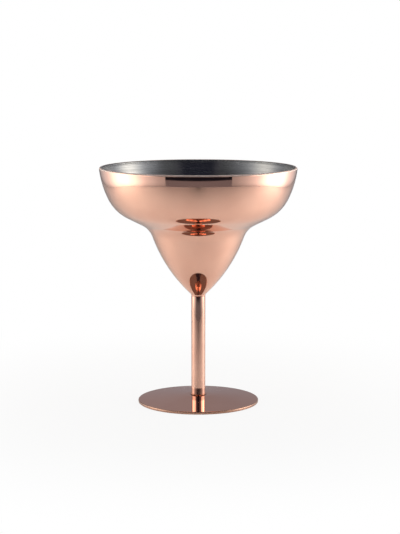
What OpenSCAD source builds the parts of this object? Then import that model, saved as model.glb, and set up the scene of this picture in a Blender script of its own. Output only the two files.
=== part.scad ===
// Margarita glass in plated steel: a waisted bowl on a tube stem with a shallow conical foot.
// Millimetres, +Z up. The origin is on the axis, in the plane that the foot stands on.
// A slope is the angle in degrees between an outline and the upright axis.

/* [Whole glass] */
// Height from the standing plane to the top of the lip
glass_h = 141.2; // [130:0.1:170]
// Diameter of the bowl at the lip
rim_d = 117; // [105:1:130]

/* [Bowl] */
// Thickness of the bowl's sheet
bowl_wall = 1; // [0.6:0.1:1.4]
// Bevel of the lip's inner edge
lip_break = 0.2; // [0.1:0.05:0.4]
// Slope of the wall just under the lip
rim_slope = 7; // [0:0.1:10]
// Radius of the tall wall arc below the lip
wall_r = 55; // [45:0.1:65]
// Slope where the wall arc turns into the shoulder
wall_slope = 26.5; // [20:0.1:34]
// Radius of the shoulder arc
shoulder_r = 24; // [18:0.1:30]
// Slope of the conical stretch between the shoulder and the waist
cone_slope = 63.4; // [50:0.1:72]
// Length of that stretch, measured along the wall
cone_len = 9.5; // [5:0.1:14]
// Radius of the hollow waist arc
waist_r = 13.8; // [8:0.1:18]
// Slope where the waist turns into the cup
cup_slope = 20; // [14:0.1:26]
// Radius of the long cup arc
cup_r = 88; // [72:0.5:100]
// Radius of the cup's blunt nose, inside the stem joint
nose_r = 3.4; // [2.4:0.1:3.8]
// Diameter of the flat under the nose, where the stud is welded
seat_d = 3; // [2:0.1:3.6]

/* [Stem] */
// Outside diameter of the stem tube
stem_d = 8.4; // [7.4:0.1:9.4]
// Wall of the stem tube
stem_wall = 1; // [0.6:0.1:1.3]
// Length of the stud under the bowl
bowl_stud_len = 9; // [6:0.5:14]
// Length of the stud on the foot
foot_stud_len = 9; // [6:0.5:14]
// Bevel at the free end of each stud, which leads it into the tube
stud_bevel = 0.6; // [0.3:0.1:1]

/* [Foot] */
// Diameter of the foot
foot_d = 72; // [62:1:84]
// Thickness of the foot's sheet
foot_t = 1.8; // [1.2:0.1:2.4]
// Fall of the foot from its middle to its rim, in degrees below level
foot_fall = 5.4; // [3:0.1:8]
// Diameter of the level pad in the middle, where the stem stands
pad_d = 13; // [12:0.5:22]
// Radius of the bend between the pad and the falling part
bend_r = 20; // [8:1:40]
// Width of the flat land under the rim, on which the glass stands
land_w = 2; // [1.5:0.1:5]
// Rounding of the foot's outer edges
edge_r = 0.5; // [0.2:0.05:0.6]

/* [Joints] */
// Radius of the braze fillet under the cup
bowl_fillet_r = 1.2; // [0.8:0.1:2]
// Radius of the braze fillet on the foot
foot_fillet_r = 0.7; // [0.4:0.1:1.5]
// Radial clearance between a stud and the tube's bore
stud_clearance = 0.05; // [0.02:0.01:0.15]
// Gap that the braze fills between the cup and the tube's end
braze_gap = 0.1; // [0.05:0.01:0.3]
// Thickness of the braze at the thin ends of a fillet
fillet_toe = 0.12; // [0.05:0.01:0.25]

/* [Hidden] */
$fn = 96;
// Greatest turn, in degrees, between two points of a drawn arc, and of a small rounding
arc_step = 3;
rounding_step = 15;

copper = [0.80, 0.56, 0.46];
steel = [0.62, 0.62, 0.62];
braze = [0.55, 0.36, 0.28];

// Outward normal of an outline, and its direction downwards, at a slope
function normal(slope) = [cos(slope), -sin(slope)];
function downwards(slope) = [-sin(slope), -cos(slope)];

// Points along an arc from one angle to another, without its first point
function arc(centre, r, from, to, step = arc_step) =
    let (n = ceil(abs(to - from) / step))
    [for (i = [1 : n])
        let (a = from + (to - from) * i / n)
        centre + r * [cos(a), sin(a)]];

// The lip: rounded outside over the whole sheet, up to the bevel of its inner edge
lip_end = acos(lip_break / bowl_wall);
lip_rise = bowl_wall * sin(lip_end);

// The bowl's outline: arcs that run into each other, chained from the lip downwards
rim_point = [rim_d / 2, glass_h - lip_rise - bowl_wall * sin(rim_slope)];
lip_centre = rim_point - bowl_wall * normal(rim_slope);
wall_centre = rim_point - wall_r * normal(rim_slope);
shoulder_centre = wall_centre + (wall_r - shoulder_r) * normal(wall_slope);
cone_end = shoulder_centre + shoulder_r * normal(cone_slope) + cone_len * downwards(cone_slope);
waist_centre = cone_end + waist_r * normal(cone_slope);
cup_centre = waist_centre - (waist_r + cup_r) * normal(cup_slope);
// The nose arc is tangent to the cup arc, with its centre over the edge of the seat
nose_slope = acos((seat_d / 2 - cup_centre[0]) / (cup_r - nose_r));
nose_centre = cup_centre + (cup_r - nose_r) * normal(nose_slope);
seat_z = nose_centre[1] - nose_r;

// One skin of the bowl, at a depth below the outer surface, from just under the lip to the axis
function bowl_skin(depth) = concat(
    arc(wall_centre, wall_r - depth, -rim_slope, -wall_slope),
    arc(shoulder_centre, shoulder_r - depth, -wall_slope, -cone_slope),
    [cone_end - depth * normal(cone_slope)],
    arc(waist_centre, waist_r + depth, 180 - cone_slope, 180 - cup_slope),
    arc(cup_centre, cup_r - depth, -cup_slope, -nose_slope),
    arc(nose_centre, nose_r - depth, -nose_slope, -90),
    [[0, seat_z + depth]]);

function reversed(list) = [for (i = [len(list) - 1 : -1 : 0]) list[i]];

// The bowl's outer surface near the stem: its height at a radius, on the nose arc or the cup arc
nose_end_r = nose_centre[0] + nose_r * cos(nose_slope);
function arc_z(centre, radius, r) = centre[1] - sqrt(pow(radius, 2) - pow(max(r - centre[0], 0), 2));
function cup_z(r) = r < nose_end_r ? arc_z(nose_centre, nose_r, r) : arc_z(cup_centre, cup_r, r);

// The foot's sheet: a level pad, a bend and a straight fall, whose underside ends at the standing land
foot_r = foot_d / 2;
pad_r = pad_d / 2;
land_r = foot_r - land_w;
bend_lower_r = bend_r - foot_t;
pad_z = bend_r - bend_lower_r / cos(foot_fall) + (land_r - pad_r) * tan(foot_fall);
bend_centre = [pad_r, pad_z - bend_r];
// Centre of the rounding between the falling top and the upright rim
edge_centre_r = foot_r - edge_r;
edge_centre = [edge_centre_r,
    bend_centre[1] + (bend_r - edge_r) / cos(foot_fall) - (edge_centre_r - pad_r) * tan(foot_fall)];

// The stem stands on the foot's pad and ends where its bore meets the cup
stem_r = stem_d / 2;
bore_r = stem_r - stem_wall;
stud_r = bore_r - stud_clearance;
stem_top = cup_z(bore_r) - braze_gap;

// Centre of the hollow fillet, one toe clear of the stem and of the cup arc, and its nearest point on the cup
bowl_reach = fillet_toe + bowl_fillet_r;
bowl_fillet = [stem_r + bowl_reach, arc_z(cup_centre, cup_r + bowl_reach, stem_r + bowl_reach)];
cup_touch = cup_centre + cup_r * (bowl_fillet - cup_centre) / norm(bowl_fillet - cup_centre);
foot_reach = fillet_toe + foot_fillet_r;

// One sheet of spun steel, the same thickness all over, with its lip rounded to the outside
module bowl() {
    color(copper)
    rotate_extrude()
    polygon(concat(
        [rim_point],
        bowl_skin(0),
        reversed(bowl_skin(bowl_wall)),
        [lip_centre, lip_centre + [0, lip_rise - lip_break]],
        reversed(arc(lip_centre, bowl_wall, -rim_slope, lip_end, rounding_step))));
}

// The cup's outside as a filled shape, to cut what seats against it
module cup_section() {
    polygon(concat([rim_point], bowl_skin(0), [[0, glass_h]]));
}

// A round bar with a bevelled free end, drawn upwards from its welded end
module stud(length) {
    rotate_extrude()
    polygon([[0, 0], [stud_r, 0], [stud_r, length - stud_bevel], [stud_r - stud_bevel, length], [0, length]]);
}

module bowl_stud() {
    color(steel)
    translate([0, 0, seat_z])
    mirror([0, 0, 1])
    stud(bowl_stud_len);
}

module foot_stud() {
    color(steel)
    translate([0, 0, pad_z])
    stud(foot_stud_len);
}

module stem_tube() {
    color(copper)
    rotate_extrude()
    translate([bore_r, pad_z])
    square([stem_wall, stem_top - pad_z]);
}

// Braze drawn into the gap over the tube's end and out to a hollow fillet
module bowl_braze_ring() {
    color(braze)
    rotate_extrude()
    difference() {
        polygon([
            [bore_r, stem_top],
            [stem_r, stem_top],
            [stem_r, bowl_fillet[1]],
            bowl_fillet,
            cup_touch,
            [bore_r, cup_touch[1]]]);
        translate(bowl_fillet) circle(bowl_fillet_r);
        cup_section();
    }
}

// Braze fillet round the tube's lower end
module foot_braze_ring() {
    color(braze)
    rotate_extrude()
    translate([stem_r, pad_z])
    difference() {
        square(foot_reach);
        translate([foot_reach, foot_reach]) circle(foot_fillet_r);
    }
}

// Pressed disc: level pad, bend, straight fall, rounded edge and a flat land that stands on the table
module foot() {
    color(copper)
    rotate_extrude()
    polygon(concat(
        [[0, pad_z], [pad_r, pad_z]],
        arc(bend_centre, bend_r, 90, 90 - foot_fall),
        [edge_centre + edge_r * [sin(foot_fall), cos(foot_fall)]],
        arc(edge_centre, edge_r, 90 - foot_fall, 0, rounding_step),
        [[foot_r, edge_r]],
        arc([edge_centre_r, edge_r], edge_r, 0, -90, rounding_step),
        [[land_r, 0]],
        reversed(arc(bend_centre, bend_lower_r, 90, 90 - foot_fall)),
        [[pad_r, pad_z - foot_t], [0, pad_z - foot_t]]));
}

bowl();
bowl_stud();
bowl_braze_ring();
stem_tube();
foot_braze_ring();
foot_stud();
foot();
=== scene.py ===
"""Looks of a copper-plated steel margarita glass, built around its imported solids.

Outlines are in millimetres and degrees, in a plane with the radius to the right and the height
up. A slope is the angle between an outline and the upright axis. The studio is in metres.
"""
import logging
import math
from collections.abc import Mapping, Sequence
from dataclasses import dataclass, replace
from enum import Enum
from typing import Any

import bmesh
import bpy
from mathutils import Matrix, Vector


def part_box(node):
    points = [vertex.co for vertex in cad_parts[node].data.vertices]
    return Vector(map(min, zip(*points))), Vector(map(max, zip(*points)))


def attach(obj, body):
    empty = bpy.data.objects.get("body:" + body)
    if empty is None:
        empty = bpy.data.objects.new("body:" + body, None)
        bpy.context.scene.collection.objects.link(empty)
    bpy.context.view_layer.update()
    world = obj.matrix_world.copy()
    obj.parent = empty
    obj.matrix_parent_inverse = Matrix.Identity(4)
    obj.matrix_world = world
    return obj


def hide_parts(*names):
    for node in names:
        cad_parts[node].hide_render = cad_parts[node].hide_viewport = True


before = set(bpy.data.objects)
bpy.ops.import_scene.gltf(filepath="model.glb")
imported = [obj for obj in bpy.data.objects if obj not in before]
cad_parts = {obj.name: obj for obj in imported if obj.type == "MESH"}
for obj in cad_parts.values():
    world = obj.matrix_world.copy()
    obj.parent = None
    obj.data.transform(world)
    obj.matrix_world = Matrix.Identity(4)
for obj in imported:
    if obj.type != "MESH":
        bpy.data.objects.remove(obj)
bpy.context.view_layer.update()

Material = bpy.types.Material
Piece = bpy.types.Object
Tree = bpy.types.NodeTree
# What can feed a node's input: a socket, or a node by its first output.
Source = bpy.types.NodeSocket | bpy.types.Node
# Two values between which one look turns into another.
Span = tuple[float, float]
# A place along some light, and its share of the light there.
Stop = tuple[float, float]
Triple = tuple[float, float, float]

LOG = logging.getLogger("margarita_glass")
MM = 0.001
BODY = "root"
# Steps round the axis of every turned piece, and the longest steps along its outline.
TURN_STEPS = 192
STEP_MM = 1.0
STEP_DEG = 4.0
# Points of an outline that are closer than this are one point.
SAME_MM = 1e-5
# Metres that nothing in the studio reaches.
FAR = 1e3
# Values between which most of a noise lies.
NOISE_SPAN = (0.3, 0.7)
# Factors that take the height out of a place or a direction.
LEVEL = (1, 1, 0)
# Sockets of a Mix node by number, since they share their names: two numbers, two colours, result.
NUMBER_A, NUMBER_B = 2, 3
COLOUR_A, COLOUR_B, COLOUR_OUT = 6, 7, 2


class Look(Enum):
    """Which side of a piece a surface belongs to; the value is its material slot."""

    OUTSIDE = 0
    EDGE = 1
    INSIDE = 2


class Side(Enum):
    """Left or right of the glass, as the camera sees it; the value is the sign of x."""

    LEFT = -1
    RIGHT = 1


@dataclass(frozen=True)
class Station:
    """One ring of a turned surface: its place, its outward normal and the side it belongs to."""

    place: Vector
    normal: Vector
    look: Look = Look.OUTSIDE


@dataclass(frozen=True)
class Arc:
    """A round stretch of an outline. The metal is on the left of the way that it runs."""

    centre: Vector
    radius: float
    start: float
    end: float

    def point(self, angle: float) -> Vector:
        """Returns the point of the arc at an angle in degrees."""
        return self.centre + self.radius * direction(angle)

    def backwards(self) -> "Arc":
        """Returns the same arc run the other way."""
        return replace(self, start=self.end, end=self.start)

    def stations(self, look: Look) -> list[Station]:
        """Samples the arc from its start to its end.

        Args:
            look: The side that the surface belongs to.

        Returns:
            Stations with the arc's true normals.
        """
        turn = self.end - self.start
        length = abs(math.radians(turn)) * self.radius
        count = max(1, math.ceil(length / STEP_MM), math.ceil(abs(turn) / STEP_DEG))
        outward = 1.0 if turn > 0 else -1.0
        angles = [self.start + turn * i / count for i in range(count + 1)]
        return [Station(self.point(a), outward * direction(a), look) for a in angles]


def direction(angle: float) -> Vector:
    """Returns the unit vector at an angle in degrees, from the radius axis to the height axis."""
    return Vector((math.cos(math.radians(angle)), math.sin(math.radians(angle))))


def slope_normal(slope: float) -> Vector:
    """Returns the outward normal of an outline that leans outwards by a slope in degrees."""
    return direction(-slope)


def line(start: Vector, end: Vector, look: Look = Look.OUTSIDE) -> list[Station]:
    """Samples a straight stretch of an outline.

    Args:
        start: Its first point.
        end: Its last point.
        look: The side that the surface belongs to.

    Returns:
        Stations whose normals point to the right of the way that it runs.
    """
    run = end - start
    normal = Vector((run.y, -run.x)).normalized()
    count = max(1, math.ceil(run.length / STEP_MM))
    return [Station(start.lerp(end, i / count), normal, look) for i in range(count + 1)]


def rounded(corners: Sequence[tuple[Vector, float]], closed: bool) -> list[Station]:
    """Joins corner points by straight lines and rounds each corner.

    Args:
        corners: Points and the radius at each. A radius of 0 leaves the end of an open outline
            as it is.
        closed: Whether the last point runs back to the first.

    Returns:
        Stations along the lines and the roundings.
    """
    arcs: list[Arc | None] = []
    ends: list[tuple[Vector, Vector]] = []
    for i, (corner, radius) in enumerate(corners):
        if radius == 0:
            arcs.append(None)
            ends.append((corner, corner))
            continue
        before = (corner - corners[i - 1][0]).normalized()
        after = (corners[(i + 1) % len(corners)][0] - corner).normalized()
        cross = before.x * after.y - before.y * after.x
        turn = math.degrees(math.atan2(cross, before.dot(after)))
        reach = radius * math.tan(math.radians(abs(turn)) / 2)
        first = corner - reach * before
        side = 1.0 if turn > 0 else -1.0
        centre = first + side * radius * Vector((-before.y, before.x))
        spoke = first - centre
        angle = math.degrees(math.atan2(spoke.y, spoke.x))
        arcs.append(Arc(centre, radius, angle, angle + turn))
        ends.append((first, corner + reach * after))
    stations: list[Station] = []
    for i, arc in enumerate(arcs):
        if arc:
            stations += arc.stations(Look.OUTSIDE)
        if closed or i + 1 < len(corners):
            stations += line(ends[i][1], ends[(i + 1) % len(corners)][0])
    return stations


def turned(name: str, outline: Sequence[Station], closed: bool) -> Piece:
    """Turns an outline round the glass's axis into a smooth mesh.

    Args:
        name: Name of the new piece.
        outline: Stations with the metal on the left. An open outline starts and ends on the axis.
        closed: Whether the last station runs back to the first.

    Returns:
        The piece, riding on the glass's one body.
    """
    stations = [outline[0]]
    for station in outline[1:]:
        if (station.place - stations[-1].place).length > SAME_MM:
            stations.append(station)
    if closed and (stations[0].place - stations[-1].place).length < SAME_MM:
        stations.pop()
    mesh = bmesh.new()
    normals: list[Vector] = []
    rings: list[list[bmesh.types.BMVert]] = []
    spokes = [direction(360 * i / TURN_STEPS) for i in range(TURN_STEPS)]
    for station in stations:
        on_axis = station.place.x < SAME_MM
        lean = 0.0 if on_axis else station.normal.x
        ring = []
        for spoke in spokes[:1] if on_axis else spokes:
            flat = station.place.x * MM * spoke
            ring.append(mesh.verts.new((flat.x, flat.y, station.place.y * MM)))
            normal = Vector((lean * spoke.x, lean * spoke.y, station.normal.y))
            normals.append(normal.normalized())
        rings.append(ring)
    pairs = list(zip(range(len(rings)), range(1, len(rings))))
    if closed:
        pairs.append((len(rings) - 1, 0))
    for lower, upper in pairs:
        low, high = rings[lower], rings[upper]
        for i in range(TURN_STEPS):
            j = (i + 1) % TURN_STEPS
            # A ring on the axis is one point, which stands for all of its corners.
            corners = [low[i % len(low)], low[j % len(low)]]
            corners += [high[j % len(high)], high[i % len(high)]]
            face = mesh.faces.new(list(dict.fromkeys(corners)))
            face.smooth = True
            face.material_index = stations[upper].look.value
    data = bpy.data.meshes.new(name)
    mesh.to_mesh(data)
    mesh.free()
    data.normals_split_custom_set_from_vertices(normals)
    piece = bpy.data.objects.new(name, data)
    bpy.context.scene.collection.objects.link(piece)
    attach(piece, BODY)
    return piece


def linear(hex_colour: str) -> tuple[float, float, float, float]:
    """Turns an sRGB colour into linear RGBA.

    Args:
        hex_colour: The colour in hex, such as #F3BDA4.

    Returns:
        The linear colour, opaque.
    """
    levels = [int(hex_colour[i:i + 2], 16) / 255 for i in (1, 3, 5)]
    red, green, blue = (
        v / 12.92 if v <= 0.04045 else ((v + 0.055) / 1.055) ** 2.4 for v in levels
    )
    return (red, green, blue, 1.0)


def add_node(
    tree: Tree, kind: str, inputs: Mapping[str | int, Any] | None = None, **settings: str
) -> bpy.types.Node:
    """Adds a node with its settings and links.

    Args:
        tree: Node tree that takes the node.
        kind: The node's type name.
        inputs: What each input takes, by the input's name or number: a source that is linked to
            it, an sRGB hex colour or a plain value.
        settings: Values of the node's own properties.

    Returns:
        The new node.
    """
    node = tree.nodes.new(kind)
    for name, value in settings.items():
        setattr(node, name, value)
    for key, value in (inputs or {}).items():
        if isinstance(value, Source):
            socket = value.outputs[0] if isinstance(value, bpy.types.Node) else value
            tree.links.new(socket, node.inputs[key])
        else:
            plain = linear(value) if isinstance(value, str) else value
            node.inputs[key].default_value = plain
    return node


def per_metre(size_mm: float) -> float:
    """Returns a texture scale at which one feature is as large as the given millimetres."""
    return 1.0 / (size_mm * MM)


def ranges(before: Span, after: Span = (0.0, 1.0)) -> dict[str, float]:
    """Returns the inputs that map one range of values onto another and hold it beyond."""
    return dict(zip(("From Min", "From Max", "To Min", "To Max"), (*before, *after)))


def new_material(name: str) -> tuple[Material, Tree]:
    """Makes an empty node material.

    Args:
        name: Name of the material.

    Returns:
        The material and its tree.
    """
    material = bpy.data.materials.new(name)
    material.use_nodes = True
    material.node_tree.nodes.clear()
    return material, material.node_tree


def distance(tree: Tree, place: Source, factors: Triple = LEVEL, from_y: float = 0.0) -> Source:
    """Measures how far places are from a point of the glass's middle plane, seen from above.

    Args:
        tree: Node tree that takes the nodes.
        place: The places.
        factors: How much a way counts along each axis.
        from_y: The point's distance behind the glass.

    Returns:
        The distances.
    """
    start = (0, -from_y * factors[1], 0)
    way = add_node(
        tree, "ShaderNodeVectorMath", {0: place, 1: factors, 2: start}, operation="MULTIPLY_ADD"
    )
    return add_node(tree, "ShaderNodeVectorMath", {0: way}, operation="LENGTH").outputs["Value"]


def round_axis_noise(tree: Tree, pitch_mm: float, run_mm: float, detail: float) -> Source:
    """Draws noise as fine lines round the glass's axis, as on a spun or turned surface.

    Args:
        tree: Node tree that takes the nodes.
        pitch_mm: Distance between lines.
        run_mm: Length over which a line fades into the next.
        detail: Octaves of finer lines.

    Returns:
        The noise, from 0 to 1.
    """
    place = add_node(tree, "ShaderNodeTexCoord").outputs["Object"]
    parts = add_node(tree, "ShaderNodeSeparateXYZ", {0: place}).outputs
    radius = distance(tree, place)
    ring = add_node(tree, "ShaderNodeCombineXYZ", {0: radius, 1: parts["Z"], 2: parts["X"]})
    fine, slow = per_metre(pitch_mm), per_metre(run_mm)
    across = add_node(
        tree, "ShaderNodeVectorMath", {0: ring, 1: (fine, fine, slow)}, operation="MULTIPLY"
    )
    along = add_node(tree, "ShaderNodeMath", {0: parts["Y"], 1: slow}, operation="MULTIPLY")
    inputs = {"Vector": across, "W": along, "Scale": 1.0, "Detail": detail}
    return add_node(tree, "ShaderNodeTexNoise", inputs, noise_dimensions="4D").outputs["Fac"]


def blotches(tree: Tree, size_mm: float, detail: float) -> Source:
    """Draws soft patches.

    Args:
        tree: Node tree that takes the nodes.
        size_mm: Size of a patch.
        detail: Octaves of finer patches.

    Returns:
        The patches, from 0 to 1.
    """
    place = add_node(tree, "ShaderNodeTexCoord").outputs["Object"]
    inputs = {"Vector": place, "Scale": per_metre(size_mm), "Detail": detail}
    return add_node(tree, "ShaderNodeTexNoise", inputs).outputs["Fac"]


def two_tone(
    tree: Tree, pattern: Source, span: Span, first: str | Source, second: str | Source
) -> Source:
    """Turns smoothly from one colour to another along a pattern.

    Args:
        tree: Node tree that takes the nodes.
        pattern: Values that tell where each colour lies.
        span: The values where the first colour ends and where the second is reached.
        first: A source or an sRGB hex colour.
        second: A source or an sRGB hex colour.

    Returns:
        The colour.
    """
    share = add_node(
        tree, "ShaderNodeMapRange", {"Value": pattern, **ranges(span)},
        interpolation_type="SMOOTHSTEP",
    )
    inputs = {0: share, COLOUR_A: first, COLOUR_B: second}
    return add_node(tree, "ShaderNodeMix", inputs, data_type="RGBA").outputs[COLOUR_OUT]


def tool_marks(tree: Tree, marks: Source, height_mm: float, roughness: Span) -> dict[str, Source]:
    """Cuts marks into a surface, which change its roughness too.

    Args:
        tree: Node tree that takes the nodes.
        marks: The marks' pattern, from 0 to 1.
        height_mm: Height of the marks.
        roughness: Roughness at the marks' lowest and highest.

    Returns:
        The inputs that a shader takes from them.
    """
    bump = add_node(tree, "ShaderNodeBump", {"Height": marks, "Distance": height_mm * MM})
    sheen = add_node(
        tree, "ShaderNodeMapRange", {"Value": marks, **ranges(NOISE_SPAN, roughness)},
        interpolation_type="SMOOTHSTEP",
    )
    return {"Roughness": sheen, "Normal": bump}


def light_share(tree: Tree, place: Source, stops: Sequence[Stop]) -> Source:
    """Draws light that changes along straight lines between a few stops.

    Args:
        tree: Node tree that takes the nodes.
        place: Where a point lies along the light.
        stops: Rising places, each with its share of the light from 0 to 1.

    Returns:
        The shares, held beyond the first and last stop.
    """
    first, last = stops[0][0], stops[-1][0]
    way = add_node(tree, "ShaderNodeMapRange", {"Value": place, **ranges((first, last))})
    ramp = add_node(tree, "ShaderNodeValToRGB", {"Fac": way})
    marks = ramp.color_ramp.elements
    ready = len(marks)
    for i, (stop, share) in enumerate(stops):
        spot = (stop - first) / (last - first)
        mark = marks[i] if i < ready else marks.new(spot)
        mark.position = spot
        mark.color = (share, share, share, 1.0)
    return ramp.outputs["Color"]


def metal_surface(tree: Tree, inputs: Mapping[str, Any]) -> None:
    """Ends a material with one metallic shader that has the given inputs."""
    shader = add_node(tree, "ShaderNodeBsdfPrincipled", {"Metallic": 1.0, **inputs})
    add_node(tree, "ShaderNodeOutputMaterial", {"Surface": shader})


@dataclass(frozen=True)
class BuffedCopper:
    """Copper plate over polished steel, buffed on a mop.

    It gives the eye a rosy mirror: sharp reflections, tinted once for each bounce, that ripple a
    little along the spun rings, with faint wipe marks and slightly paler and deeper patches.
    """

    name: str = "copper_plate_buffed"
    plate: str = "#F2C1AB"
    deep: str = "#EFBCA6"
    roughness: Span = (0.035, 0.075)
    patch_mm: float = 14.0
    patch_span: Span = (0.35, 0.7)
    wipe_mm: float = 5.0
    wipe_span: Span = (0.4, 0.7)
    # Buffing hairlines are hundredths of a millimetre apart; they are drawn coarser, so that
    # they show.
    hairline_mm: float = 0.5
    hairline_run_mm: float = 30.0
    hairline_height_mm: float = 0.0004
    ripple_mm: float = 7.0
    ripple_run_mm: float = 60.0
    ripple_height_mm: float = 0.0015

    def colour(self, tree: Tree) -> Source:
        """Returns the plate's colour, with its deeper patches."""
        patches = blotches(tree, self.patch_mm, detail=3.0)
        return two_tone(tree, patches, self.patch_span, self.plate, self.deep)

    def material(self) -> Material:
        """Builds the finish.

        Returns:
            A node material.
        """
        material, tree = new_material(self.name)
        ripples = round_axis_noise(tree, self.ripple_mm, self.ripple_run_mm, detail=1.0)
        hairlines = round_axis_noise(tree, self.hairline_mm, self.hairline_run_mm, detail=2.0)
        wipes = blotches(tree, self.wipe_mm, detail=5.0)
        spun = add_node(
            tree, "ShaderNodeBump", {"Height": ripples, "Distance": self.ripple_height_mm * MM}
        )
        buffed = add_node(
            tree, "ShaderNodeBump",
            {"Height": hairlines, "Distance": self.hairline_height_mm * MM, "Normal": spun},
        )
        sheen = add_node(
            tree, "ShaderNodeMapRange", {"Value": wipes, **ranges(self.wipe_span, self.roughness)},
            interpolation_type="SMOOTHSTEP",
        )
        inputs = {"Base Color": self.colour(tree), "Roughness": sheen, "Normal": buffed}
        metal_surface(tree, inputs)
        return material


@dataclass(frozen=True)
class TubeCopper(BuffedCopper):
    """Copper plate on the tube, a little deeper than on the bowl and foot.

    Just above the foot it turns darker and browner towards its lower end.
    """

    name: str = "copper_plate_on_drawn_tube"
    plate: str = "#E6B8A4"
    deep: str = "#E0B09C"
    low_brown: str = "#B08C7D"
    # Heights above the table between which the darker, browner colour fades.
    low_brown_mm: Span = (7.8, 9.2)

    def colour(self, tree: Tree) -> Source:
        """Colours the plate browner towards its lower end.

        Args:
            tree: Node tree that takes the nodes.

        Returns:
            The colour.
        """
        place = add_node(tree, "ShaderNodeTexCoord").outputs["Object"]
        height = add_node(tree, "ShaderNodeSeparateXYZ", {0: place}).outputs["Z"]
        low, high = self.low_brown_mm
        return two_tone(tree, height, (low * MM, high * MM), self.low_brown, super().colour(tree))


@dataclass(frozen=True)
class SpunSteel:
    """Stainless steel as it leaves the spinning lathe, rubbed with fine cloth while it turns.

    The lines run round the bowl, so light spreads up and down the wall: broad upright bands of
    bright and dark, with fine rings in them.
    """

    metal: str = "#9D9D9E"
    dull: str = "#909091"
    roughness: Span = (0.2, 0.28)
    anisotropy: float = 0.92
    # The tangent runs round the axis, so a quarter turn spreads the light across the lines.
    quarter_turn: float = 0.25
    # Cloth lines are about 0.05 mm apart; they are drawn coarser, so that they show.
    line_mm: float = 0.4
    line_run_mm: float = 25.0
    line_height_mm: float = 0.0005
    band_mm: float = 2.4
    band_run_mm: float = 75.0

    def material(self) -> Material:
        """Builds the finish.

        Returns:
            A node material.
        """
        material, tree = new_material("stainless_steel_spun")
        lines = round_axis_noise(tree, self.line_mm, self.line_run_mm, detail=3.0)
        bands = round_axis_noise(tree, self.band_mm, self.band_run_mm, detail=1.0)
        inputs = {
            "Base Color": two_tone(tree, bands, NOISE_SPAN, self.metal, self.dull),
            "Anisotropic": self.anisotropy,
            "Anisotropic Rotation": self.quarter_turn,
            "Tangent": add_node(tree, "ShaderNodeTangent", direction_type="RADIAL", axis="Z"),
            **tool_marks(tree, lines, self.line_height_mm, self.roughness),
        }
        metal_surface(tree, inputs)
        return material


@dataclass(frozen=True)
class PlatedBraze:
    """Braze fillet, dressed with a file and plated with the rest.

    It gives the eye a softer copper than the sheet beside it, uneven along the file marks.
    """

    name: str = "braze_filed_and_plated"
    plate: str = "#B98068"
    deep: str = "#7E4D3B"
    roughness: Span = (0.08, 0.2)
    patch_mm: float = 1.6
    patch_span: Span = (0.35, 0.75)
    mark_mm: float = 0.5
    mark_run_mm: float = 2.0
    mark_height_mm: float = 0.01

    def material(self) -> Material:
        """Builds the finish.

        Returns:
            A node material.
        """
        material, tree = new_material(self.name)
        patches = blotches(tree, self.patch_mm, detail=3.0)
        marks = round_axis_noise(tree, self.mark_mm, self.mark_run_mm, detail=3.0)
        inputs = {
            "Base Color": two_tone(tree, patches, self.patch_span, self.plate, self.deep),
            **tool_marks(tree, marks, self.mark_height_mm, self.roughness),
        }
        metal_surface(tree, inputs)
        return material


@dataclass(frozen=True)
class TurnedSteel:
    """Bright steel bar, turned to size and left bare inside the stem.

    It gives the eye grey rings of tool marks with a dull film of flux between them.
    """

    metal: str = "#C9C7C3"
    film: str = "#8F8A83"
    roughness: Span = (0.25, 0.5)
    feed_mm: float = 0.2
    feed_run_mm: float = 40.0
    feed_height_mm: float = 0.01
    film_mm: float = 2.5
    film_span: Span = (0.45, 0.75)

    def material(self) -> Material:
        """Builds the finish.

        Returns:
            A node material.
        """
        material, tree = new_material("steel_bar_turned")
        films = blotches(tree, self.film_mm, detail=3.0)
        rings = round_axis_noise(tree, self.feed_mm, self.feed_run_mm, detail=1.0)
        inputs = {
            "Base Color": two_tone(tree, films, self.film_span, self.metal, self.film),
            **tool_marks(tree, rings, self.feed_height_mm, self.roughness),
        }
        metal_surface(tree, inputs)
        return material


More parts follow.
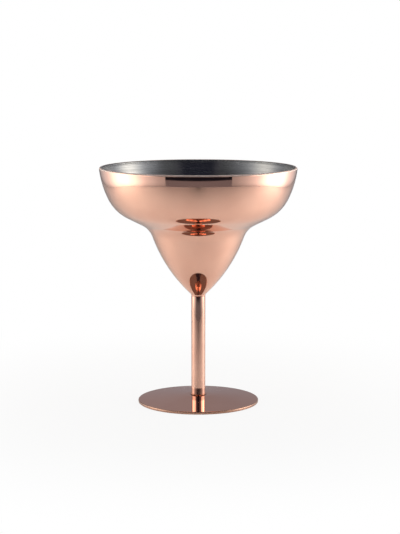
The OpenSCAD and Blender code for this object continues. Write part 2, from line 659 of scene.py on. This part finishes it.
@dataclass
class Bowl:
    """The spun shell: a wide bowl, a waist and a pointed cup in one sheet, plated outside only."""

    height: float
    widest_r: float
    sheet: float = 1.0
    lip_break: float = 0.2
    # Angle on the lip's rounding from which its top has the near-white finish, a painted
    # highlight.
    lip_highlight_from: float = 15.0
    rim_slope: float = 7.0
    wall_r: float = 55.0
    wall_slope: float = 26.5
    shoulder_r: float = 24.0
    cone_slope: float = 63.4
    cone_length: float = 9.5
    waist_r: float = 13.8
    cup_slope: float = 20.0
    cup_r: float = 88.0
    nose_r: float = 3.4
    seat_r: float = 1.5

    def __post_init__(self) -> None:
        """Chains the arcs' centres from the lip down to the seat on the stud."""
        lip_end = math.degrees(math.acos(self.lip_break / self.sheet))
        lip_rise = self.sheet * math.sin(math.radians(lip_end))
        lip_centre = Vector((self.widest_r - self.sheet, self.height - lip_rise))
        self.lip = Arc(lip_centre, self.sheet, -self.rim_slope, lip_end)
        self.lip_edge = lip_centre + Vector((0, lip_rise - self.lip_break))
        rim = self.lip.point(-self.rim_slope)
        wall = rim - self.wall_r * slope_normal(self.rim_slope)
        shoulder = wall + (self.wall_r - self.shoulder_r) * slope_normal(self.wall_slope)
        cone_down = direction(-90 - self.cone_slope)
        cone_start = shoulder + self.shoulder_r * slope_normal(self.cone_slope)
        cone_end = cone_start + self.cone_length * cone_down
        waist = cone_end + self.waist_r * slope_normal(self.cone_slope)
        self.cup_centre = waist - (self.waist_r + self.cup_r) * slope_normal(self.cup_slope)
        nose_share = (self.seat_r - self.cup_centre.x) / (self.cup_r - self.nose_r)
        nose_slope = math.degrees(math.acos(nose_share))
        nose = self.cup_centre + (self.cup_r - self.nose_r) * slope_normal(nose_slope)
        self.arcs = [
            Arc(nose, self.nose_r, -90, -nose_slope),
            Arc(self.cup_centre, self.cup_r, -nose_slope, -self.cup_slope),
            Arc(waist, self.waist_r, 180 - self.cup_slope, 180 - self.cone_slope),
            Arc(shoulder, self.shoulder_r, -self.cone_slope, -self.wall_slope),
            Arc(wall, self.wall_r, -self.wall_slope, -self.rim_slope),
        ]
        self.seat_z = nose.y - self.nose_r

    def skin(self, depth: float) -> list[Arc]:
        """Returns the arcs from seat to lip, at a depth in millimetres below the outer surface."""
        sides = [math.copysign(1, arc.end - arc.start) for arc in self.arcs]
        return [replace(a, radius=a.radius - depth * s) for a, s in zip(self.arcs, sides)]

    def outline(self) -> list[Station]:
        """Draws the whole section: up the outside, over the lip and down the inside.

        Returns:
            Stations from the axis to the axis.
        """
        outside = self.skin(0.0)
        inside = [arc.backwards() for arc in reversed(self.skin(self.sheet))]
        lip = self.lip
        stations = line(Vector((0, self.seat_z)), outside[0].point(-90))
        for arc in [*outside, replace(lip, end=self.lip_highlight_from)]:
            stations += arc.stations(Look.OUTSIDE)
        stations += replace(lip, start=self.lip_highlight_from).stations(Look.EDGE)
        stations += line(lip.point(lip.end), self.lip_edge, Look.EDGE)
        stations += line(self.lip_edge, lip.centre, Look.INSIDE)
        for arc in inside:
            stations += arc.stations(Look.INSIDE)
        bottom = Vector((0, self.seat_z + self.sheet))
        return stations + line(inside[-1].point(-90), bottom, Look.INSIDE)

    def build(self) -> Piece:
        """Turns the shell, which stands for the bowl's solid.

        Returns:
            The shell.
        """
        self.shell = turned("bowl_shell", self.outline(), closed=False)
        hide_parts("bowl")
        return self.shell

    def dress(self, outside: Material, lip: Material, inside: Material) -> None:
        """Plates the outside and leaves the inside bare; the lip's top has a near-white finish, a
        painted highlight.
        """
        for finish in (outside, lip, inside):
            self.shell.data.materials.append(finish)


@dataclass
class Stem:
    """The straight tube and the two braze fillets that join it to the cup and to the foot."""

    foot_z: float
    top_z: float
    radius: float
    bowl: Bowl
    tube_wall: float = 1.0
    edge_break: float = 0.15
    bowl_fillet_r: float = 1.32
    foot_fillet_r: float = 0.82

    def build_tube(self) -> Piece:
        """Turns the tube, cut square, with its edges broken.

        Returns:
            The tube.
        """
        bore_r = self.radius - self.tube_wall
        corners = [
            (self.radius, self.foot_z), (self.radius, self.top_z),
            (bore_r, self.top_z), (bore_r, self.foot_z),
        ]
        outline = rounded([(Vector(c), self.edge_break) for c in corners], closed=True)
        tube = turned("stem", outline, closed=True)
        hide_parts("stem_tube")
        return tube

    def build_bowl_fillet(self) -> Piece:
        """Turns the braze between the tube's top and the cup, hollow and tangent to both.

        Returns:
            The fillet.
        """
        cup, reach = self.bowl.cup_centre, self.bowl.cup_r + self.bowl_fillet_r
        centre_r = self.radius + self.bowl_fillet_r
        slope = math.degrees(math.acos((centre_r - cup.x) / reach))
        centre = cup + reach * slope_normal(slope)
        hollow = Arc(centre, self.bowl_fillet_r, 180, 180 - slope)
        bore_r = self.radius - self.tube_wall
        bore_slope = math.degrees(math.acos((bore_r - cup.x) / self.bowl.cup_r))
        seat = Arc(cup, self.bowl.cup_r, -slope, -bore_slope)
        outline = hollow.stations(Look.OUTSIDE)
        outline += seat.stations(Look.OUTSIDE)[1:]
        outline += line(seat.point(seat.end), Vector((bore_r, self.top_z)))[1:]
        outline += line(Vector((bore_r, self.top_z)), Vector((self.radius, self.top_z)))[1:]
        fillet = turned("bowl_braze_fillet", outline, closed=True)
        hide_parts("bowl_braze_ring")
        return fillet

    def build_foot_fillet(self) -> Piece:
        """Turns the braze round the tube's lower end, hollow and tangent to tube and foot.

        Returns:
            The fillet.
        """
        root = Vector((self.radius, self.foot_z))
        centre = root + Vector((self.foot_fillet_r, self.foot_fillet_r))
        hollow = Arc(centre, self.foot_fillet_r, 270, 180)
        outline = hollow.stations(Look.OUTSIDE) + line(hollow.point(180), root)[1:]
        fillet = turned("foot_braze_fillet", outline, closed=True)
        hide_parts("foot_braze_ring")
        return fillet

    def build(self) -> list[Piece]:
        """Returns the tube, the fillet under the cup and the fillet on the foot."""
        self.pieces = [self.build_tube(), self.build_bowl_fillet(), self.build_foot_fillet()]
        return self.pieces

    def dress(self, plate: Material, upper_braze: Material, lower_braze: Material) -> None:
        """Gives the tube its plate and each fillet its braze."""
        for piece, finish in zip(self.pieces, (plate, upper_braze, lower_braze)):
            piece.data.materials.append(finish)


@dataclass
class Foot:
    """The pressed disc: a level pad, a bend, a straight fall to the rim and a standing land."""

    pad_z: float
    radius: float
    sheet: float = 1.8
    fall: float = 5.4
    pad_r: float = 6.5
    bend_r: float = 20.0
    land_width: float = 2.0
    land_break: float = 0.3
    edge_r: float = 0.5

    def build(self) -> Piece:
        """Turns the disc, which stands for the foot's solid.

        Returns:
            The disc.
        """
        half_fall = math.tan(math.radians(self.fall) / 2)
        bend_x = self.pad_r + self.bend_r * half_fall
        drop = (self.radius - bend_x) * math.tan(math.radians(self.fall))
        under_z = self.pad_z - self.sheet
        under_bend_r = self.bend_r - self.sheet
        corners = [
            (Vector((0, under_z)), 0),
            (Vector((self.pad_r + under_bend_r * half_fall, under_z)), under_bend_r),
            (Vector((self.radius - self.land_width, 0)), self.land_break),
            (Vector((self.radius, 0)), self.edge_r),
            (Vector((self.radius, self.pad_z - drop)), self.edge_r),
            (Vector((bend_x, self.pad_z)), self.bend_r),
            (Vector((0, self.pad_z)), 0),
        ]
        rim_r = self.radius - self.edge_r / 2
        outline = [
            replace(station, look=Look.EDGE) if station.place.x > rim_r else station
            for station in rounded(corners, closed=False)
        ]
        self.disc = turned("foot_disc", outline, closed=False)
        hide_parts("foot")
        return self.disc

    def dress(self, plate: Material, rim: Material) -> None:
        """Gives the disc its plate, and its upright rim a finish of its own."""
        for finish in (plate, rim):
            self.disc.data.materials.append(finish)


@dataclass
class Studs:
    """The two centring studs inside the stem, kept as the solids that they are."""

    nodes: tuple[str, ...] = ("bowl_stud", "foot_stud")

    def build(self) -> list[Piece]:
        """Returns the studs' own objects."""
        self.bars = [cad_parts[name] for name in self.nodes]
        return self.bars

    def dress(self, metal: Material) -> None:
        """Gives both studs their finish.

        Args:
            metal: The finish.
        """
        for bar in self.bars:
            for slot in bar.material_slots:
                slot.material = metal


@dataclass(frozen=True)
class ClothWall:
    """One side of the light tent, with a lamp behind the cloth.

    The gap is where it starts on the tent's circle, in degrees from straight ahead. The peaks are
    the cloth's light before the lamp at three heights, and the shifts move it to the back there.
    """

    side: Side
    gap: float
    peaks: Triple
    shifts: Triple


@dataclass
class Studio:
    """A pale table in a light tent: cloth walls at its sides, an open dark front, a grey back.

    The walls and the table top are seen only as reflections, so that the glass can be looked at
    from any side. The camera sees a floor that is white but for the glass's shadow.
    """

    floor_colour: str = "#F0EFEC"
    floor_roughness: float = 0.5
    floor_size: float = 40.0
    floor_drop: float = 0.1 * MM
    # White that is seen mixed into the floor's own light: next to the glass, and well away.
    floor_white: Span = (0.9, 1.0)
    floor_white_reach: Span = (0.06, 0.26)
    # The tent's plan: a circle in front, open before the glass, and straight walls to the back.
    tent_y: float = 0.075
    tent_r: float = 0.353
    tent_back: float = 1.0
    tent_height: float = 0.5
    walls: tuple[ClothWall, ...] = (
        ClothWall(Side.LEFT, gap=29.2, peaks=(3.2, 3.7, 3.6), shifts=(-0.05, -0.015, -0.035)),
        ClothWall(Side.RIGHT, gap=30.2, peaks=(3.65, 4.6, 5.8), shifts=(-0.02, 0.01, 0.0)),
    )
    # Degrees by which each side of the front opening closes towards its top, and degrees of the
    # tent's circle to one face.
    gap_narrowing: float = 12.3
    wall_step: float = 2.0
    # Light along a wall, as a share of its peak, by distance behind the glass, at three heights:
    # broad at the table, even before the lamp, and a spot above it. Then its fade with height.
    wall_heights: Triple = (0.08, 0.135, 0.185)
    wall_light: tuple[tuple[Stop, ...], ...] = (
        (
            (-0.24, 0.075), (-0.205, 0.115), (-0.163, 0.19), (-0.12, 0.29), (-0.098, 0.36),
            (-0.07, 0.5), (-0.03, 0.72), (0.04, 1.0), (0.13, 0.83), (0.2, 0.58), (0.25, 0.43),
            (0.3, 0.34), (0.35, 0.29), (0.4, 0.26), (0.47, 0.22), (0.55, 0.18), (0.7, 0.14),
            (1.0, 0.1),
        ),
        (
            (-0.24, 0.05), (-0.19, 0.08), (-0.175, 0.5), (-0.16, 0.72), (-0.02, 0.75),
            (0.05, 0.6), (0.15, 0.42), (0.2, 0.32), (0.3, 0.22), (0.45, 0.15), (0.55, 0.12),
            (1.0, 0.08),
        ),
        (
            (-0.24, 0.045), (-0.2, 0.06), (-0.13, 0.16), (-0.075, 0.3), (-0.02, 0.6),
            (0.04, 0.95), (0.08, 1.0), (0.13, 0.85), (0.2, 0.5), (0.3, 0.26), (0.45, 0.15),
            (0.55, 0.12), (1.0, 0.08),
        ),
    )
    wall_fade: tuple[Stop, ...] = (
        (0.0, 0.6), (0.015, 0.9), (0.03, 1.0), (0.2, 1.0), (0.25, 0.65), (0.3, 0.3), (0.4, 0.16),
        (0.65, 0.07),
    )
    # The cloth is warmer before the lamps.
    wall_cool: str = "#F8FAFF"
    wall_warm: str = "#FFFAF0"
    table_size: float = 6.0
    table_drop: float = 0.05 * MM
    paper_colour: str = "#F8F7F5"
    paper_gloss: float = 0.3
    # Width over which the paper gives way to the cloth in front of it.
    paper_edge: float = 0.004
    # Painted light: a pool of glow on the paper round the glass, drawn as the paper's own
    # emission.
    paper_glow: float = 0.2
    paper_glow_reach: Span = (0.1, 0.28)
    # Painted shade: the table's colour is darker along its middle, most of all at the front edge:
    # by distance from there, sideways in metres and backwards less.
    paper_front: float = -0.28
    paper_stretch: float = 0.45
    paper_shade: tuple[Stop, ...] = ((0.0, 0.42), (0.02, 0.76), (0.05, 0.95), (0.08, 1.0))
    paper_unlit: str = "#000000"
    cloth_grey: str = "#74737A"
    cloth_black: str = "#191922"
    # The black cloth's oval edge: its distance in front of the glass, how far it blurs to each
    # side, and how much less a way sideways counts.
    cloth_edge: float = 0.372
    cloth_blur: float = 0.01
    cloth_squeeze: float = 0.75
    # The back's colours on the left and on the right, and how far sideways it turns from one to
    # the other.
    sky_back: tuple[str, str] = ("#979297", "#8C898F")
    sky_turn: Span = (-0.3, 0.3)
    # Heights in the sky are sines of the angle above the horizon.
    sky_ceiling: str = "#7E7D7F"
    ceiling_rise: Span = (0.4, 0.75)
    sky_pale: str = "#FFFFFF"
    horizon_rise: Span = (0.0195, 0.0215)
    # Where the dark opening ends, as the cosine of the angle from straight behind.
    sky_front: str = "#303140"
    sky_opening: Span = (-0.96, -0.86)
    # A lamp overhead.
    lamp_reach: Span = (0.979, 0.987)
    lamp_peak: float = 2.0

    def stage_mesh(
        self, name: str, points: Sequence[Triple], faces: Sequence[tuple[int, ...]]
    ) -> Piece:
        """Makes a stage object.

        Args:
            name: Name of the object.
            points: Its points.
            faces: Its faces, by numbers of points.

        Returns:
            The object.
        """
        data = bpy.data.meshes.new(name)
        data.from_pydata(points, [], faces)
        thing = bpy.data.objects.new(name, data)
        bpy.context.scene.collection.objects.link(thing)
        return thing

    def sheet(self, name: str, size: float, drop: float) -> Piece:
        """Lays a square stage sheet.

        Args:
            name: Name of the sheet.
            size: Length of its sides.
            drop: Its depth below the standing plane.

        Returns:
            The sheet.
        """
        half = size / 2
        plan = ((-half, -half), (half, -half), (half, half), (-half, half))
        return self.stage_mesh(name, [(x, y, -drop) for x, y in plan], [(0, 1, 2, 3)])

    def build_floor(self) -> None:
        """Lays the white floor, which shows its own light and shadow only round the glass."""
        floor = self.sheet("floor", self.floor_size, self.floor_drop)
        material, tree = new_material("paper_pale_matt")
        place = add_node(tree, "ShaderNodeTexCoord").outputs["Object"]
        white = add_node(
            tree, "ShaderNodeMapRange",
            {"Value": distance(tree, place), **ranges(self.floor_white_reach, self.floor_white)},
            interpolation_type="SMOOTHSTEP",
        )
        path = add_node(tree, "ShaderNodeLightPath").outputs
        seen = path["Is Camera Ray"]
        for ray in ("Is Glossy Ray", "Is Transmission Ray"):
            seen = add_node(tree, "ShaderNodeMath", {0: seen, 1: path[ray]}, operation="MAXIMUM")
        share = add_node(tree, "ShaderNodeMath", {0: white, 1: seen}, operation="MULTIPLY")
        paper = add_node(
            tree, "ShaderNodeBsdfDiffuse",
            {"Color": self.floor_colour, "Roughness": self.floor_roughness},
        )
        glow = add_node(tree, "ShaderNodeEmission", {"Strength": 1.0})
        shader = add_node(tree, "ShaderNodeMixShader", {0: share, 1: paper, 2: glow})
        add_node(tree, "ShaderNodeOutputMaterial", {"Surface": shader})
        floor.data.materials.append(material)

    def wall_mesh(self, wall: ClothWall) -> Piece:
        """Stands the cloth of one wall: a bent stretch in front, then straight to the back.

        Args:
            wall: The wall.

        Returns:
            The cloth, seen only in reflections.
        """
        sign = wall.side.value
        count = math.ceil((90 - wall.gap) / self.wall_step)
        points = []
        for z, gap in ((0.0, wall.gap), (self.tent_height, wall.gap - self.gap_narrowing)):
            for i in range(count + 1):
                angle = (gap - 90) * (1 - i / count)
                spot = Vector((0, self.tent_y)) + self.tent_r * direction(angle)
                points.append((sign * spot.x, spot.y, z))
            points.append((sign * self.tent_r, self.tent_back, z))
        row = len(points) // 2
        faces = [(i, i + 1, i + 1 + row, i + row) for i in range(row - 1)]
        cloth = self.stage_mesh(f"wall_{wall.side.name.lower()}", points, faces)
        cloth.visible_camera = False
        return cloth

    def build_wall(self, wall: ClothWall) -> None:
        """Builds one cloth wall, brightest where its lamp is behind it.

        Args:
            wall: The wall.
        """
        material, tree = new_material("diffusion_cloth_lit_from_behind")
        place = add_node(tree, "ShaderNodeTexCoord").outputs["Object"]
        parts = add_node(tree, "ShaderNodeSeparateXYZ", {0: place}).outputs
        levels = []
        for stops, peak, shift in zip(self.wall_light, wall.peaks, wall.shifts):
            share = light_share(tree, parts["Y"], [(y + shift, part) for y, part in stops])
            inputs = {0: share, 1: peak}
            levels.append(add_node(tree, "ShaderNodeMath", inputs, operation="MULTIPLY"))
        light = levels[0]
        for level, low, high in zip(levels[1:], self.wall_heights, self.wall_heights[1:]):
            rise = add_node(
                tree, "ShaderNodeMapRange", {"Value": parts["Z"], **ranges((low, high))},
                interpolation_type="SMOOTHSTEP",
            )
            inputs = {0: rise, NUMBER_A: light, NUMBER_B: level}
            light = add_node(tree, "ShaderNodeMix", inputs, data_type="FLOAT")
        fade = light_share(tree, parts["Z"], self.wall_fade)
        strength = add_node(tree, "ShaderNodeMath", {0: light, 1: fade}, operation="MULTIPLY")
        tint = two_tone(tree, light, (0.0, max(wall.peaks)), self.wall_cool, self.wall_warm)
        shader = add_node(tree, "ShaderNodeEmission", {"Color": tint, "Strength": strength})
        add_node(tree, "ShaderNodeOutputMaterial", {"Surface": shader})
        self.wall_mesh(wall).data.materials.append(material)

    def table_paper(self, tree: Tree, place: Source) -> Source:
        """Makes the glossy paper, with a painted pool of light round the glass and painted shade
        along its middle.

        Args:
            tree: Node tree that takes the nodes.
            place: Places on the table.

        Returns:
            The paper's shader.
        """
        # Painted shade: the paper's colour darkens towards black along its middle.
        aside = distance(tree, place, (1, self.paper_stretch, 0), self.paper_front)
        shade = light_share(tree, aside, self.paper_shade)
        inputs = {0: shade, COLOUR_A: self.paper_unlit, COLOUR_B: self.paper_colour}
        colour = add_node(tree, "ShaderNodeMix", inputs, data_type="RGBA").outputs[COLOUR_OUT]
        # Painted light: the paper glows round the glass.
        glow = add_node(
            tree, "ShaderNodeMapRange",
            {
                "Value": distance(tree, place),
                **ranges(self.paper_glow_reach, (self.paper_glow, 0.0)),
            },
            interpolation_type="SMOOTHSTEP",
        )
        inputs = {
            "Base Color": colour,
            "Specular IOR Level": 0.0,
            "Coat Weight": 1.0,
            "Coat Roughness": self.paper_gloss,
            "Emission Color": colour,
            "Emission Strength": glow,
        }
        return add_node(tree, "ShaderNodeBsdfPrincipled", inputs)

    def build_table(self) -> None:
        """Lays the paper in the tent, with grey and then black cloth before its round edge."""
        table = self.sheet("table", self.table_size, self.table_drop)
        table.visible_camera = False
        table.visible_diffuse = False
        table.visible_shadow = False
        material, tree = new_material("paper_and_dark_cloth")
        place = add_node(tree, "ShaderNodeTexCoord").outputs["Object"]
        # Only ways forwards from the tent's middle count: the paper runs on to the back.
        ahead = add_node(
            tree, "ShaderNodeVectorMath", {0: place, 1: (FAR, self.tent_y, FAR)},
            operation="MINIMUM",
        )
        away = distance(tree, ahead, from_y=self.tent_y)
        beyond = add_node(
            tree, "ShaderNodeMapRange",
            {"Value": away, **ranges((self.tent_r, self.tent_r + self.paper_edge))},
            interpolation_type="SMOOTHSTEP",
        )
        paper = self.table_paper(tree, place)
        depth = distance(tree, place, (self.cloth_squeeze, 1, 0))
        edge = (self.cloth_edge - self.cloth_blur, self.cloth_edge + self.cloth_blur)
        cloth_colour = two_tone(tree, depth, edge, self.cloth_grey, self.cloth_black)
        # Painted light: the cloth glows at its colour's level instead of being lit by the lamps.
        cloth = add_node(tree, "ShaderNodeEmission", {"Color": cloth_colour})
        shader = add_node(tree, "ShaderNodeMixShader", {0: beyond, 1: paper, 2: cloth})
        add_node(tree, "ShaderNodeOutputMaterial", {"Surface": shader})
        table.data.materials.append(material)

    def build_sky(self) -> None:
        """Surrounds the studio with a dim ceiling, a grey back, a dark front, a white horizon."""
        world = bpy.data.worlds.new("studio_light")
        world.use_nodes = True
        bpy.context.scene.world = world
        tree = world.node_tree
        tree.nodes.clear()
        way = add_node(tree, "ShaderNodeTexCoord").outputs["Generated"]
        height = add_node(tree, "ShaderNodeSeparateXYZ", {0: way}).outputs["Z"]
        flat = add_node(tree, "ShaderNodeVectorMath", {0: way, 1: LEVEL}, operation="MULTIPLY")
        aim = add_node(tree, "ShaderNodeVectorMath", {0: flat}, operation="NORMALIZE")
        aims = add_node(tree, "ShaderNodeSeparateXYZ", {0: aim}).outputs
        colour = two_tone(tree, aims["X"], self.sky_turn, *self.sky_back)
        colour = two_tone(tree, height, self.ceiling_rise, colour, self.sky_ceiling)
        colour = two_tone(tree, aims["Y"], self.sky_opening, self.sky_front, colour)
        colour = two_tone(tree, height, self.horizon_rise, self.sky_pale, colour)
        colour = two_tone(tree, height, self.lamp_reach, colour, self.sky_pale)
        lamp = add_node(
            tree, "ShaderNodeMapRange", {"Value": height, **ranges(self.lamp_reach)},
            interpolation_type="SMOOTHSTEP",
        )
        # Two smooth steps, one after the other, draw the lamp smaller than its pale glow.
        strength = add_node(
            tree, "ShaderNodeMapRange",
            {"Value": lamp, **ranges((0.0, 1.0), (1.0, self.lamp_peak))},
            interpolation_type="SMOOTHSTEP",
        )
        light = add_node(tree, "ShaderNodeBackground", {"Color": colour, "Strength": strength})
        add_node(tree, "ShaderNodeOutputWorld", {"Surface": light})

    def build(self) -> None:
        """Sets up floor, walls, table and sky."""
        self.build_floor()
        for wall in self.walls:
            self.build_wall(wall)
        self.build_table()
        self.build_sky()


@dataclass
class View:
    """The photograph's camera: about a metre away and a little above the lip."""

    place: Triple = (0.00102, -0.962, 0.2203)
    tilt_down: float = 8.21
    lens_mm: float = 110.1
    sensor_mm: float = 36.0

    def build(self) -> None:
        """Makes the camera and gives it to the scene."""
        data = bpy.data.cameras.new("camera")
        data.lens = self.lens_mm
        data.sensor_width = self.sensor_mm
        camera = bpy.data.objects.new("camera", data)
        camera.location = self.place
        camera.rotation_euler = (math.radians(90 - self.tilt_down), 0, 0)
        bpy.context.scene.collection.objects.link(camera)
        bpy.context.scene.camera = camera


def report(pieces: Sequence[Piece]) -> None:
    """Logs each piece with its count of faces."""
    for piece in pieces:
        LOG.info("%s: %d faces", piece.name, len(piece.data.polygons))


def main() -> None:
    """Builds and dresses the glass, then the studio and the camera."""
    logging.basicConfig(level=logging.INFO, format="%(name)s: %(message)s")
    bpy.context.scene.view_settings.view_transform = "Standard"
    copper, tube = BuffedCopper().material(), TubeCopper().material()
    steel, bar = SpunSteel().material(), TurnedSteel().material()
    filed_braze = PlatedBraze().material()
    # Under the cup the fillet is buffed with the tube, so that it hardly shows.
    buffed_braze = PlatedBraze(
        "braze_buffed_and_plated", plate="#F0BEA8", deep="#E0AC96", roughness=(0.04, 0.1),
        mark_height_mm=0.002,
    ).material()
    # Painted highlight: the lip's top is rough and near white, paler than both copper and steel,
    # so that it shows as a bright line.
    lip = BuffedCopper(
        "copper_plate_lip_painted_highlight", plate="#F8E8E0", deep="#F4DED4", roughness=(0.6, 0.7)
    ).material()
    # The foot's cut edge is plated but not buffed, which gives the eye a duller, browner line.
    rim = BuffedCopper(
        "copper_plate_satin", plate="#C49C88", deep="#B58C78", roughness=(0.2, 0.3)
    ).material()

    lip_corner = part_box("bowl")[1] / MM
    bowl = Bowl(height=lip_corner.z, widest_r=lip_corner.x)
    report([bowl.build()])
    bowl.dress(outside=copper, lip=lip, inside=steel)

    tube_low, tube_high = (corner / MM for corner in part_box("stem_tube"))
    stem = Stem(foot_z=tube_low.z, top_z=tube_high.z, radius=tube_high.x, bowl=bowl)
    report(stem.build())
    stem.dress(plate=tube, upper_braze=buffed_braze, lower_braze=filed_braze)

    foot_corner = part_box("foot")[1] / MM
    foot = Foot(pad_z=foot_corner.z, radius=foot_corner.x)
    report([foot.build()])
    foot.dress(plate=copper, rim=rim)

    studs = Studs()
    report(studs.build())
    studs.dress(metal=bar)

    Studio().build()
    View().build()


if __name__ == "__main__":
    main()
